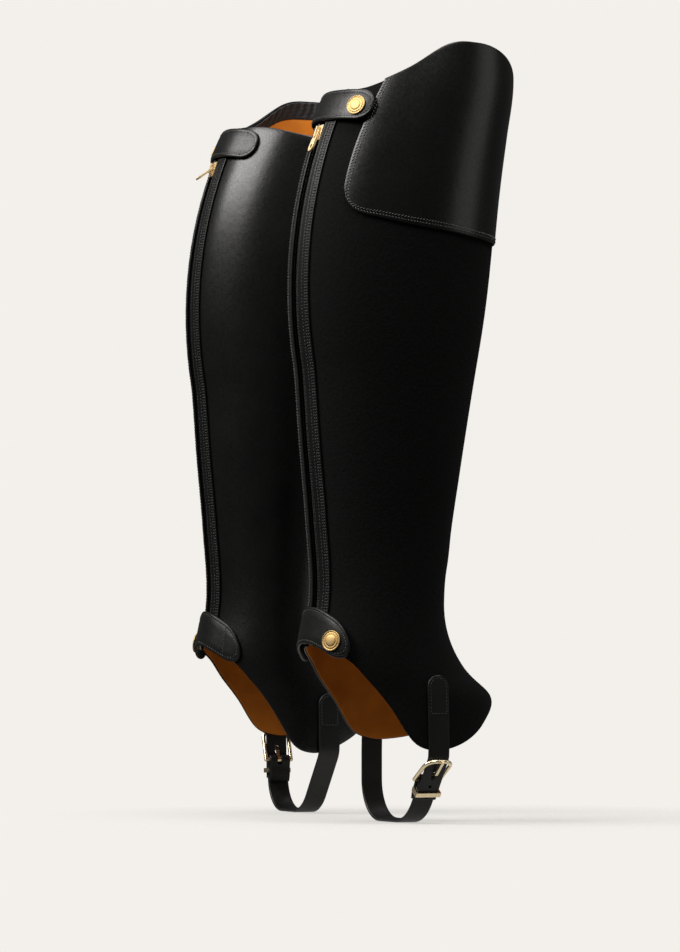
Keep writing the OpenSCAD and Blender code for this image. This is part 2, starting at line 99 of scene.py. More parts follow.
# [seam angle, inner end angle, free end angle, snap angle, middle height, droop, half height, snap's drop]
TABS = {"top": (-29, -41, 43, 32, 470, 4, 10, 1), "lower": (-33, -50, 46.5, 32.5, 129, 14, 12, 2.5)}
STRAP_W = 15
STRAP_T = 2.2
STRAP_X = 13
BAR_D = 2.8
LAYER_STEP = STRAP_T + 0.25
WRAP_R = BAR_D / 2 + 0.1 + STRAP_T / 2
BAR_N = -LAYER_STEP - WRAP_R
KEEPER_T = 1.1
FOLD_S = -LAYER_STEP - STRAP_T - KEEPER_T - 0.7
FRAME_REACH = 21
BILLET_TOP_Z = 97
BILLET_SEAM_Z = 72
STRAP_TOP_Z = 84
STRAP_SEAM_Z = 62
CAP_BEADS = 20
CAP_BEAD_RING_R = 4.9
DEGREES_IN_RADIAN = 57.3
SOLE_Z = STRAP_T / 2
# Each strap's way: outer top, outer foot, its bend, inner foot, its bend, inner top, its bend, forward lean
ROUTES = {"left": ((49.3, 58), (47.3, SOLE_Z), 24, (-16.5, SOLE_Z), 32, (-51.6, 42.5), 22, 0.075),
          "right": ((50.2, 46), (16.5, SOLE_Z), 32, (-51.9, SOLE_Z), 26, (-51.9, 46), 23, 0)}


def smooth(table, t):
    """Smooth curve through rows of [t, value]."""
    xs, ys = np.array(table, float).T
    h = np.diff(xs)
    chord = np.diff(ys) / h
    slope = np.empty(len(xs))
    slope[0], slope[-1] = chord[0], chord[-1]
    slope[1:-1] = (chord[:-1] * h[1:] + chord[1:] * h[:-1]) / (h[:-1] + h[1:])
    t = np.asarray(t, float)
    i = np.clip(np.searchsorted(xs, t, side="right") - 1, 0, len(xs) - 2)
    s = (t - xs[i]) / h[i]
    return ((2 * s**3 - 3 * s**2 + 1) * ys[i] + (s**3 - 2 * s**2 + s) * h[i] * slope[i]
            + (3 * s**2 - 2 * s**3) * ys[i + 1] + (s**3 - s**2) * h[i] * slope[i + 1])


def calf_back(z):
    return CALF_X - np.sqrt(CALF_R**2 - (z - CALF_Z) ** 2)


BACK = [[40, -54], [110, -57], [145, -51], [200, -53.5], [250, -58]] + [
    [z, float(calf_back(z))] for z in (CALF_START_Z, CALF_START_Z + 30)]


def half_width(z):
    return smooth(HALF_WIDTH, z)


def leg(phi, z):
    phi, z = np.broadcast_arrays(np.asarray(phi, float), np.asarray(z, float))
    back = np.where(z >= CALF_START_Z, calf_back(np.clip(z, 60, 640)), smooth(BACK, z))
    front = smooth(FRONT, z)
    a = np.radians(phi)
    x = (back + front) / 2 - (front - back) / 2 * np.cos(a)
    return np.stack([x, half_width(z) * np.sin(a), z], -1)


def unit(v):
    return v / np.linalg.norm(v, axis=-1, keepdims=True)


def leg_normal(phi, z):
    phi, z = np.asarray(phi, float), np.asarray(z, float)
    up = leg(phi, z + 1) - leg(phi, z - 1)
    around = leg(phi + 1, z) - leg(phi - 1, z)
    return unit(np.cross(up, around))


def softness(phi, z):
    """How far the supple leather stands off its pattern, the same for every layer; none near the zip."""
    away = np.clip((np.abs(phi) - 48) / 40, 0, 1)
    waves = (0.26 * np.sin(z / 31 + phi / 27) * np.sin(phi / 19 - z / 73 + 0.7)
             + 0.16 * np.sin(z / 17 - phi / 23 + 1.3) * np.cos(phi / 29 + z / 41))
    ankle = 0.3 * np.exp(-(((z - 150) / 34) ** 2)) * np.sin(z / 5.2 + phi / 33) * np.cos(np.radians(phi)) ** 2
    return away * (waves + ankle)


def skin(phi, z, s=0):
    offset = np.asarray(s, float) + softness(np.asarray(phi, float), np.asarray(z, float))
    return leg(phi, z) + offset[..., None] * leg_normal(phi, z)


def sideways(d, z):
    return np.degrees(np.arcsin(np.asarray(d, float) / half_width(z)))


def rim_z(phi):
    return smooth(RIM, phi)


def hem_z(side, phi):
    outer, inner = HEM_SHIFT[side]
    return smooth(HEM, np.abs(phi)) + np.where(phi > 0, outer, inner) * np.sin(np.radians(phi)) ** 4


def mix(a, b, t):
    return a + (b - a) * t


def place(side, points):
    """Points of a chap's own frame, in millimetres, moved to their place in the pair, in metres."""
    p = np.array(points, float)
    turn = -TOE_IN if side == "left" else TOE_IN
    sign = 1 if side == "left" else -1
    y = p[..., 1] * sign
    x = p[..., 0] * math.cos(turn) - y * math.sin(turn) + sign * STAGGER / 2
    y = p[..., 0] * math.sin(turn) + y * math.cos(turn) + sign * PAIR_PITCH / 2
    return np.stack([x, y, p[..., 2]], -1) * MM


# ---------------------------------------------------------------- meshes
def add_mesh(name, points, faces, smooth_shading=True):
    mesh = bpy.data.meshes.new(name)
    mesh.from_pydata([tuple(p) for p in points], [], faces)
    mesh.validate()
    bm = bmesh.new()
    bm.from_mesh(mesh)
    bmesh.ops.remove_doubles(bm, verts=bm.verts, dist=2e-6)
    bmesh.ops.recalc_face_normals(bm, faces=bm.faces)
    bm.to_mesh(mesh)
    bm.free()
    if smooth_shading:
        mesh.polygons.foreach_set("use_smooth", [True] * len(mesh.polygons))
    obj = bpy.data.objects.new(name, mesh)
    bpy.context.scene.collection.objects.link(obj)
    return obj


def edge_lines(length, radius, step):
    """Positions 0..1 along a side of that length, close together near its rounded ends."""
    near = np.array([0, 0.08, 0.25, 0.55, 1.0]) * radius / length
    inner = np.linspace(near[-1], 1 - near[-1], max(3, int(round(length / step))))
    return np.concatenate([near[:-1], inner, 1 - near[:-1][::-1]])


def roundness(edge, radius):
    """Share of the half thickness at a distance from the edge."""
    return np.sqrt(np.clip(1 - (1 - np.clip(edge / radius, 0, 1)) ** 2, 0, 1))


def shell_points(outer, inner):
    """Closed sheet between two grids whose borders coincide."""
    nu, nv = outer.shape[:2]
    points = np.concatenate([outer.reshape(-1, 3), inner.reshape(-1, 3)])
    n = nu * nv
    faces = []
    for i in range(nu - 1):
        for j in range(nv - 1):
            a, b, c, d = i * nv + j, (i + 1) * nv + j, (i + 1) * nv + j + 1, i * nv + j + 1
            faces.append((a, b, c, d))
            faces.append((a + n, d + n, c + n, b + n))
    return points, faces


def shell(name, side, where, size, step, s_mid, thickness, relief=None):
    """Sheet of leather with rounded edges: where(u, v) gives angle and height, size is (across, along)."""
    radius = thickness * 0.55
    us = edge_lines(size[0], radius, step[0])
    vs = edge_lines(size[1], radius, step[1])
    u, v = np.meshgrid(us, vs, indexing="ij")
    phi, z = where(u, v)
    edge = np.minimum(np.minimum(u, 1 - u) * size[0], np.minimum(v, 1 - v) * size[1])
    half = thickness / 2 * roundness(edge, radius)
    mid = s_mid(phi, z) if callable(s_mid) else s_mid
    lift = 0 if relief is None else relief(u * size[0], v * size[1], phi, z)
    outer = skin(phi, z, mid + half + lift * (half > 0))
    inner = skin(phi, z, mid - half)
    points, faces = shell_points(outer, inner)
    return add_mesh(name, place(side, points), faces)


def stitch_template():
    """One stitch of unit size: a thread that dives at both ends; along X, across Y, up Z."""
    ring = [(math.cos(a), math.sin(a)) for a in np.linspace(0, 2 * math.pi, 6, endpoint=False)]
    points, faces = [], []
    stations = ((-0.5, 0.3, -0.9), (-0.36, 0.85, -0.1), (0, 1.0, 0.3), (0.36, 0.85, -0.1), (0.5, 0.3, -0.9))
    for x, r, z in stations:
        points += [(x, 0.5 * r * c, 0.5 * r * s + z * 0.5) for c, s in ring]
    for k in range(len(stations) - 1):
        for i in range(6):
            j = (i + 1) % 6
            faces.append((k * 6 + i, k * 6 + j, k * 6 + 6 + j, k * 6 + 6 + i))
    faces.append(tuple(range(5, -1, -1)))
    faces.append(tuple(range(len(points) - 6, len(points))))
    return np.array(points), faces


STITCH = stitch_template()


def run_length(line):
    """Distance along a line of points, up to each of them."""
    return np.concatenate([[0], np.cumsum(np.linalg.norm(np.diff(line, axis=0), axis=1))])


def points_at(at, s, line):
    """Points of a line at distances along it; s is the line's run_length."""
    at = np.clip(at, 0, s[-1])
    return np.stack([np.interp(at, s, line[:, k]) for k in range(line.shape[1])], -1)


def resample(line, pitch):
    """Evenly spaced points of a line and their directions."""
    s = run_length(line)
    n = max(2, int(round(s[-1] / pitch)))
    at = (np.arange(n) + 0.5) * s[-1] / n
    mids = points_at(at, s, line)
    eps = pitch * 0.3
    ahead = points_at(at + eps, s, line)
    behind = points_at(at - eps, s, line)
    return mids, unit(ahead - behind), at / s[-1]


class Stitches:
    """Collects rows of stitches, which become one piece."""

    def __init__(self, name, side):
        self.name, self.side = name, side
        self.points, self.faces = [], []

    def row(self, line, normals, pitch, length, width=0.55, slant=0, lift=0.1):
        """A row along a line of points with the surface's normal at each of them."""
        mids, along, share = resample(line, pitch)
        s = run_length(line)
        s = s / s[-1]
        up = unit(points_at(share, s, normals))
        along = unit(along - (along * up).sum(-1, keepdims=True) * up)
        across = np.cross(up, along)
        turn = math.radians(slant)
        u = along * math.cos(turn) + across * math.sin(turn)
        w = np.cross(up, u)
        base = mids + up * lift
        template, faces = STITCH
        n0 = sum(len(p) for p in self.points)
        made = (base[:, None] + u[:, None] * (template[None, :, :1] * length)
                + w[:, None] * (template[None, :, 1:2] * width)
                + up[:, None] * (template[None, :, 2:] * width))
        self.points.append(made.reshape(-1, 3))
        k = len(template)
        for i in range(len(mids)):
            self.faces += [tuple(n0 + i * k + a for a in f) for f in faces]

    def on_leg(self, phi, z, s, pitch, length, **more):
        self.row(skin(phi, z, s), leg_normal(phi, z), pitch, length, **more)

    def done(self):
        return add_mesh(self.name, place(self.side, np.concatenate(self.points)), self.faces)


# ---------------------------------------------------------------- materials
def new_material(name):
    mat = bpy.data.materials.new(name)
    mat.use_nodes = True
    tree = mat.node_tree
    shader = tree.nodes["Principled BSDF"]
    coord = tree.nodes.new("ShaderNodeTexCoord")
    return mat, tree, shader, coord.outputs["Object"]


def noise(tree, at, scale, detail=3.0, rough=0.55):
    node = tree.nodes.new("ShaderNodeTexNoise")
    node.inputs["Scale"].default_value = scale
    node.inputs["Detail"].default_value = detail
    node.inputs["Roughness"].default_value = rough
    tree.links.new(at, node.inputs["Vector"])
    return node.outputs["Fac"]


def cells(tree, at, scale):
    node = tree.nodes.new("ShaderNodeTexVoronoi")
    node.feature = "SMOOTH_F1"
    node.inputs["Scale"].default_value = scale
    tree.links.new(at, node.inputs["Vector"])
    return node.outputs["Distance"]


def stretch(tree, at, scale):
    node = tree.nodes.new("ShaderNodeMapping")
    node.inputs["Scale"].default_value = scale
    tree.links.new(at, node.inputs["Vector"])
    return node.outputs["Vector"]


def ramp(tree, fac, low, high, at=(0.3, 0.7)):
    node = tree.nodes.new("ShaderNodeValToRGB")
    node.color_ramp.elements[0].position = at[0]
    node.color_ramp.elements[1].position = at[1]
    node.color_ramp.elements[0].color = (*low, 1)
    node.color_ramp.elements[1].color = (*high, 1)
    tree.links.new(fac, node.inputs["Fac"])
    return node.outputs["Color"]


def span(tree, fac, low, high, at=(0.3, 0.7)):
    node = tree.nodes.new("ShaderNodeMapRange")
    node.inputs["From Min"].default_value = at[0]
    node.inputs["From Max"].default_value = at[1]
    node.inputs["To Min"].default_value = low
    node.inputs["To Max"].default_value = high
    tree.links.new(fac, node.inputs["Value"])
    return node.outputs["Result"]


def bump(tree, shader, height, strength, distance, before=None):
    node = tree.nodes.new("ShaderNodeBump")
    node.inputs["Strength"].default_value = strength
    node.inputs["Distance"].default_value = distance
    tree.links.new(height, node.inputs["Height"])
    if before is not None:
        tree.links.new(before, node.inputs["Normal"])
    tree.links.new(node.outputs["Normal"], shader.inputs["Normal"])
    return node.outputs["Normal"]


def leather(name, dark, light, rough, specular, grain, depth):
    """Finished leather: pebbled grain, slow changes of tone and of gloss."""
    mat, tree, shader, at = new_material(name)
    slow = noise(tree, at, 45, 4)
    tree.links.new(ramp(tree, slow, dark, light), shader.inputs["Base Color"])
    gloss = noise(tree, at, grain * 0.35, 3)
    tree.links.new(span(tree, gloss, rough[0], rough[1]), shader.inputs["Roughness"])
    shader.inputs["Specular IOR Level"].default_value = specular
    first = bump(tree, shader, cells(tree, at, grain), 0.2, depth)
    bump(tree, shader, noise(tree, at, grain * 0.12, 4), 0.25, depth * 4, first)
    return mat


def suede(name):
    mat, tree, shader, at = new_material(name)
    nap = noise(tree, at, 620, 5, 0.7)
    tree.links.new(ramp(tree, nap, (0.0007, 0.0007, 0.0007), (0.0036, 0.0036, 0.0035)),
                   shader.inputs["Base Color"])
    shader.inputs["Roughness"].default_value = 0.88
    shader.inputs["Specular IOR Level"].default_value = 0.08
    shader.inputs["Sheen Weight"].default_value = 0.015
    shader.inputs["Sheen Roughness"].default_value = 0.5
    shader.inputs["Sheen Tint"].default_value = (0.5, 0.5, 0.5, 1)
    first = bump(tree, shader, noise(tree, at, 900, 4, 0.65), 0.7, 0.0004)
    bump(tree, shader, cells(tree, at, 430), 0.4, 0.0004, first)
    return mat


def lining_leather(name):
    """Tan lining, darker towards the foot with painted shade and paler near the rim with painted light."""
    mat, tree, shader, at = new_material(name)
    slow = noise(tree, at, 38, 5)
    height = tree.nodes.new("ShaderNodeSeparateXYZ")
    tree.links.new(at, height.inputs[0])
    # painted shade and light: a darker tan low in the leg, where shade falls, blends into a paler tan near
    # the rim, where light falls
    painted_light_by_height = tree.nodes.new("ShaderNodeMix")
    painted_light_by_height.data_type = "RGBA"
    tree.links.new(span(tree, height.outputs["Z"], 0, 1, (0.34, 0.46)), painted_light_by_height.inputs[0])
    tree.links.new(ramp(tree, slow, (0.29, 0.078, 0.0035), (0.42, 0.13, 0.010)), painted_light_by_height.inputs[6])
    tree.links.new(ramp(tree, slow, (0.50, 0.155, 0.014), (0.66, 0.23, 0.032)), painted_light_by_height.inputs[7])
    tree.links.new(painted_light_by_height.outputs[2], shader.inputs["Base Color"])
    tree.links.new(span(tree, noise(tree, at, 300), 0.5, 0.66), shader.inputs["Roughness"])
    shader.inputs["Specular IOR Level"].default_value = 0.12
    first = bump(tree, shader, cells(tree, at, 1500), 0.25, 0.00015)
    bump(tree, shader, noise(tree, at, 160, 4), 0.2, 0.0006, first)
    return mat


def elastic(name):
    mat, tree, shader, at = new_material(name)
    weave = tree.nodes.new("ShaderNodeTexWave")
    weave.bands_direction = "Z"
    weave.inputs["Scale"].default_value = 330
    weave.inputs["Distortion"].default_value = 0.6
    tree.links.new(at, weave.inputs["Vector"])
    tree.links.new(ramp(tree, weave.outputs["Fac"], (0.002, 0.002, 0.0024), (0.008, 0.008, 0.0088)),
                   shader.inputs["Base Color"])
    shader.inputs["Roughness"].default_value = 0.5
    shader.inputs["Specular IOR Level"].default_value = 0.4
    bump(tree, shader, weave.outputs["Fac"], 0.5, 0.0002)
    return mat


def woven(name):
    mat, tree, shader, at = new_material(name)
    warp = tree.nodes.new("ShaderNodeTexWave")
    warp.bands_direction = "Z"
    warp.inputs["Scale"].default_value = 420
    tree.links.new(at, warp.inputs["Vector"])
    tree.links.new(ramp(tree, warp.outputs["Fac"], (0.004, 0.004, 0.004), (0.016, 0.016, 0.016)),
                   shader.inputs["Base Color"])
    shader.inputs["Roughness"].default_value = 0.75
    shader.inputs["Specular IOR Level"].default_value = 0.2
    bump(tree, shader, warp.outputs["Fac"], 0.6, 0.0003)
    return mat


def thread(name):
    mat, tree, shader, at = new_material(name)
    twist = noise(tree, at, 2600, 2)
    tree.links.new(ramp(tree, twist, (0.009, 0.009, 0.009), (0.036, 0.036, 0.035)),
                   shader.inputs["Base Color"])
    tree.links.new(span(tree, twist, 0.38, 0.55), shader.inputs["Roughness"])
    shader.inputs["Specular IOR Level"].default_value = 0.6
    bump(tree, shader, twist, 0.5, 0.0002)
    return mat


def brass(name, dark, light, rough):
    mat, tree, shader, at = new_material(name)
    slow = noise(tree, at, 220, 4)
    tree.links.new(ramp(tree, slow, dark, light), shader.inputs["Base Color"])
    shader.inputs["Metallic"].default_value = 1.0
    scratches = noise(tree, stretch(tree, at, (1, 1, 6)), 900, 3)
    tree.links.new(span(tree, scratches, *rough), shader.inputs["Roughness"])
    bump(tree, shader, scratches, 0.06, 0.0001)
    return mat


def coil(name):
    mat, tree, shader, at = new_material(name)
    tree.links.new(ramp(tree, noise(tree, at, 500), (0.006, 0.006, 0.006), (0.016, 0.016, 0.016)),
                   shader.inputs["Base Color"])
    tree.links.new(span(tree, noise(tree, at, 900), 0.3, 0.45), shader.inputs["Roughness"])
    return mat


SMOOTH = leather("smooth_black_leather", (0.0025, 0.0025, 0.0025), (0.0042, 0.0042, 0.0041),
                 (0.26, 0.34), 0.32, 1700, 0.00008)
STRAP = leather("strap_black_leather", (0.003, 0.003, 0.003), (0.0055, 0.0055, 0.0054),
                (0.40, 0.50), 0.28, 1500, 0.00018)
STRIP = leather("zip_strip_leather", (0.002, 0.002, 0.002), (0.0038, 0.0038, 0.0038),
                (0.34, 0.44), 0.24, 1500, 0.00013)
TAB = leather("tab_black_leather", (0.0032, 0.0032, 0.0032), (0.006, 0.006, 0.006),
              (0.34, 0.43), 0.27, 1600, 0.00012)
SUEDE = suede("black_grained_suede")
LINING = lining_leather("tan_lining_leather")
ELASTIC = elastic("gathered_black_elastic")
TAPE = woven("woven_zip_tape")
THREAD = thread("black_thread")
BRASS = brass("polished_brass", (0.90, 0.72, 0.42), (0.97, 0.85, 0.60), (0.2, 0.34))
SATIN_BRASS = brass("satin_brass", (0.40, 0.265, 0.10), (0.50, 0.345, 0.155), (0.50, 0.62))
SLIDER_BRASS = brass("slider_brass", (0.88, 0.66, 0.34), (0.96, 0.80, 0.52), (0.46, 0.6))
COIL = coil("moulded_zip_teeth")


def finish_piece(obj, material, slot, body, *nodes):
    obj.data.materials.clear()
    obj.data.materials.append(material)
    if nodes:
        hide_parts(*nodes)
    if body is not None:
        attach(obj, body)
    return obj


# ---------------------------------------------------------------- leather panels and what is sewn to them
def panel_where(side, sign):
    def where(u, v):
        mid = sign * mix(sideways(PANEL_START, CALF_Z), 180, u)
        z = mix(hem_z(side, mid), rim_z(mid), v)
        return sign * mix(sideways(PANEL_START, z), 180, u), z
    return where


def lining_where(side, sign, v0, v1):
    """u runs from beside the zip tape to the front, v between two shares of the panel's height."""
    def where(u, v):
        t = mix(LINING_START, 1, u)
        mid = sign * mix(sideways(PANEL_START, CALF_Z), 180, t)
        z = mix(hem_z(side, mid), rim_z(mid), mix(v0, v1, v))
        return sign * mix(sideways(PANEL_START, z), 180, t), z
    return where


def patch_where(u, v):
    """u runs from the patch's back edge to the front, v from its lower edge to the rim."""
    mid = mix(PATCH_START_A, 180, u)
    z = mix(smooth(PATCH_LOW, mid), rim_z(mix(PATCH_RIM_A, 180, u)), v)
    return mix(smooth(PATCH_BACK, z), PATCH_END_A, u), z


def strip_where(sign):
    def where(u, v):
        z = mix(*STRIP_ENDS, v)
        return sideways(sign * mix(ZIP_GAP / 2, ZIP_GAP / 2 + STRIP_W, u), z), z
    return where


def pleats(side, phi, z):
    """Gathers of the elastic band: uneven narrow folds, flat where the band is sewn down."""
    low = mix(hem_z(side, phi), rim_z(phi), BAND_SHARE)
    wobble = 5 * np.sin(np.radians(phi * 4.3)) + 4 * np.sin(np.radians(phi * 9.7 + 40))
    depth = 0.55 + 0.3 * np.sin(np.radians(phi * 11 + 70))
    return depth * np.sin(np.radians(phi * 62 + wobble * 9)) * np.clip((z - low) / 3.5, 0, 1)


def make_panels(side):
    for sign, name, material, slot in ((1, "outer_panel", SUEDE, "suede_leather"),
                                       (-1, "inner_panel", SMOOTH, "smooth_leather")):
        panel = shell(f"{side}_{name}_leather", side, panel_where(side, sign), (180, 400), (2.4, 3.4),
                      -PANEL_T / 2, PANEL_T)
        finish_piece(panel, material, slot, "chaps", f"{side}_{name}")
    patch = shell(f"{side}_knee_patch_leather", side, patch_where, (150, 100), (1.6, 1.6),
                  LAYER_GAP + PATCH_T / 2 - 0.1, PATCH_T + 0.2)
    finish_piece(patch, SMOOTH, "smooth_leather", "chaps", f"{side}_knee_patch")


def make_lining(side):
    s = -PANEL_T - GLUE_GAP
    for sign, name in ((1, "outer"), (-1, "inner")):
        top = BAND_SHARE if sign > 0 else 0.996
        piece = shell(f"{side}_{name}_lining_leather", side, lining_where(side, sign, 0.001, top), (170, 400),
                      (2.6, 4.5), s - LINING_T / 2, LINING_T)
        finish_piece(piece, LINING, "tan_lining", "chaps", f"{side}_{name}_lining")

    band = shell(f"{side}_gathered_band", side, lining_where(side, 1, BAND_SHARE - 0.004, 0.998), (170, 11),
                 (0.5, 0.8), lambda phi, z: s - 0.85 + 0.42 * pleats(side, phi, z), 0.7)
    finish_piece(band, ELASTIC, "gathered_elastic", "chaps", f"{side}_rim_facing")


def strip_relief(u, *_):
    """A turned edge beside the zip, and the furrows of the two seams."""
    bead = 0.22 * np.exp(-(((u - 0.9) / 0.7) ** 2))
    furrows = 0.16 * np.exp(-(((u - 6.0) / 0.55) ** 2)) + 0.14 * np.exp(-(((u - 9.3) / 1.5) ** 2))
    return bead - furrows


# Rows of stitches on a zip strip: distance from the gap, pitch, stitch length, thread width, slant
STRIP_SEAMS = ((1.6, 2.3, 1.6, 0.42, 0), (6.0, 2.3, 1.7, 0.5, 0),
               (8.5, 1.9, 1.9, 0.6, 52), (10.1, 1.9, 1.9, 0.6, 52))


def make_zip(side):
    stitches = Stitches(f"{side}_zip_strip_stitches", side)
    z = np.linspace(119, 479, 240)
    for sign, name in ((1, "outer"), (-1, "inner")):
        strip = shell(f"{side}_{name}_strip_leather", side, strip_where(sign), (STRIP_W, 364), (0.45, 3.0),
                      LAYER_GAP + PATCH_T / 2, PATCH_T, strip_relief)
        finish_piece(strip, STRIP, "strip_leather", "chaps", f"{side}_{name}_zip_strip")
        top = LAYER_GAP + PATCH_T
        for d, pitch, length, width, slant in STRIP_SEAMS:
            phi = sideways(sign * (ZIP_GAP / 2 + d), z)
            stitches.on_leg(phi, z, top - 0.1, pitch, length, width=width, slant=slant * sign)
    finish_piece(stitches.done(), THREAD, "strip_leather", "chaps")

    def tape_where(u, v):
        height = mix(*TAPE_ENDS, v)
        return sideways(mix(-TAPE_HALF, TAPE_HALF, u), height), height

    tape = shell(f"{side}_zip_tape_weave", side, tape_where, (2 * TAPE_HALF, 362), (1.0, 3.5),
                 TAPE_S - TAPE_T / 2, TAPE_T)
    finish_piece(tape, TAPE, "zip_tape", "chaps", f"{side}_zip_tape")

    teeth = Stitches(f"{side}_zip_tooth_rows", side)
    z = np.linspace(120, 458.5, 300)
    for offset, start in ((-1.05, 0.0), (1.05, 0.85)):
        phi = sideways(np.full_like(z, offset), z + start)
        teeth.row(skin(phi, z + start, -1.5), leg_normal(phi, z), 1.7, 3.2, width=1.35, slant=90, lift=0)
    finish_piece(teeth.done(), COIL, "zip_teeth", "chaps", f"{side}_zip_teeth")


def make_patch_seam(side):
    """Double row of slanted stitches along the patch's back and lower edges."""
    stitches = Stitches(f"{side}_patch_stitches", side)
    top = LAYER_GAP + PATCH_T
    for inset, slant in ((1.9, 30), (3.9, -30)):
        u_in, v_in = inset / 150, inset / 112
        v = np.linspace(0.99, v_in + 0.06, 60)
        back = (np.full_like(v, u_in), v)
        corner = np.linspace(0, 1, 14)[1:-1]
        bend = (mix(u_in, u_in + 0.012, corner**2), mix(v_in + 0.06, v_in, corner ** 0.6))
        u = np.linspace(u_in + 0.014, 0.995, 120)
        low = (u, np.full_like(u, v_in))
        uv = [np.concatenate(parts) for parts in zip(back, bend, low)]
        phi, z = patch_where(*uv)
        stitches.on_leg(phi, z, top - 0.05, 2.1, 2.1, width=0.62, slant=slant)
    finish_piece(stitches.done(), THREAD, "smooth_leather", "chaps")


def make_front_seam(side):
    stitches = Stitches(f"{side}_front_seam_stitches", side)
    for sign, low, high, s in ((1, 98, 380, 0.0), (1, 386, 476, LAYER_GAP + PATCH_T), (-1, 98, 476, 0.0)):
        z = np.linspace(low, high, 160)
        phi = sign * (180 - sideways(2.2, z))
        stitches.on_leg(phi, z, s - 0.05, 2.6, 1.9, width=0.5)
    finish_piece(stitches.done(), THREAD, "smooth_leather", "chaps")


# ---------------------------------------------------------------- snap tabs
def tab_mid(tab, phi):
    return tab[4] - tab[5] * (1 - np.cos(np.radians(2 * phi)))


def tab_half(tab, phi, inset=0.0):
    """Half height at an angle, with round ends; inset moves the outline inwards."""
    per_degree = half_width(tab[4]) / DEGREES_IN_RADIAN
    half = tab[6]
    from_end = np.minimum(tab[2] - phi, phi - tab[1]) * per_degree - inset
    k = np.clip(1 - from_end / half, 0, 1)
    return (half - inset) * np.sqrt(np.clip(1 - k**2, 0, 1))


def lift_at(phi):
    return smooth(TAB_LIFT, phi)


def make_tab(side, which):
    tab = TABS[which]
    body = f"{side}_{which}_flap"
    per_degree = float(half_width(tab[4])) / DEGREES_IN_RADIAN
    length = (tab[2] - tab[1]) * per_degree
    height = 2 * tab[6]
    ends = np.array([0, 0.004, 0.011, 0.022, 0.04, 0.065, 0.1])
    us = np.concatenate([ends, np.linspace(0.13, 0.87, 56), 1 - ends[::-1]])
    vs = edge_lines(height, 1.3, 0.7)
    u, v = np.meshgrid(us, vs, indexing="ij")
    phi = mix(tab[1], tab[2], u)
    half = tab_half(tab, phi)
    z = tab_mid(tab, phi) + (2 * v - 1) * half
    side_edge = (1 - np.abs(2 * v - 1)) * half
    edge = np.minimum(side_edge, np.minimum(u, 1 - u) * length)
    thick = TAB_T / 2 * roundness(edge, 1.25)
    # a furrow under the edge seam, and a slight swell inside it
    furrow = 0.16 * np.exp(-(((edge - 2.1) / 0.6) ** 2))
    seam = 0.2 * np.exp(-((((phi - tab[0] + 1.6) * per_degree) / 0.7) ** 2))
    swell = 0.22 * np.clip((edge - 2.6) / 3, 0, 1)
    mid = lift_at(phi) + TAB_T / 2
    outer = skin(phi, z, mid + thick + (swell - furrow - seam) * (edge > 0.6))
    inner = skin(phi, z, mid - thick)
    points, faces = shell_points(outer, inner)
    piece = add_mesh(f"{side}_{which}_tab_leather", place(side, points), faces)
    finish_piece(piece, TAB, "smooth_leather", None, f"{side}_{which}_tab", f"{side}_{which}_tab_anchor")

    stitches = Stitches(f"{side}_{which}_tab_stitches", side)
    inset = 2.1
    a0, a1 = tab[1] + inset / per_degree, tab[2] - inset / per_degree
    bend = (1 - np.cos(np.linspace(0, math.pi, 120))) / 2
    way = mix(a0, a1, bend)
    loop_phi = np.concatenate([way, way[::-1]])
    rise = np.concatenate([np.ones(120), -np.ones(120)])
    loop_z = tab_mid(tab, loop_phi) + rise * tab_half(tab, loop_phi, inset)
    top = lift_at(loop_phi) + TAB_T
    stitches.row(skin(loop_phi, loop_z, top - 0.12), leg_normal(loop_phi, loop_z), 2.2, 1.65, width=0.5)
    seam_z = np.linspace(-0.86, 0.86, 24) * tab_half(tab, np.array(tab[0] - 1.6)) + tab_mid(tab, tab[0] - 1.6)
    seam_phi = np.full_like(seam_z, tab[0] - 1.6)
    stitches.on_leg(seam_phi, seam_z, lift_at(seam_phi) + TAB_T - 0.15, 2.2, 1.65, width=0.5)
    rows = stitches.done()
    finish_piece(rows, THREAD, "smooth_leather", None)

    # two points a little either side of the seam, which nothing below uses
    turn = place(side, skin(np.array([tab[0] - 2.2, tab[0] + 3.4]), np.full(2, tab_mid(tab, tab[0])), 1.5))
    for obj in (piece, rows):
        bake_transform(obj)
    make_cap(side, which, tab, body)


def lathe(profile, phi, z, s, steps=56):
    """Turned piece on the leg surface, from (radius, height) points."""
    centre = leg(np.array(phi), np.array(z))
    up = leg_normal(np.array(phi), np.array(z))
    centre = centre + up * s
    across = unit(np.cross(up, np.array([0, 0, 1.0])))
    other = np.cross(up, across)
    points, faces = [], []
    for r, h in profile:
        for k in range(steps):
            a = 2 * math.pi * k / steps
            points.append(centre + across * (r * math.cos(a)) + other * (r * math.sin(a)) + up * h)
    n = len(profile)
    for i in range(n - 1):
        for k in range(steps):
            j = (k + 1) % steps
            faces.append((i * steps + k, i * steps + j, (i + 1) * steps + j, (i + 1) * steps + k))
    faces.append(tuple(range(steps - 1, -1, -1)))
    faces.append(tuple((n - 1) * steps + k for k in range(steps)))
    return points, faces


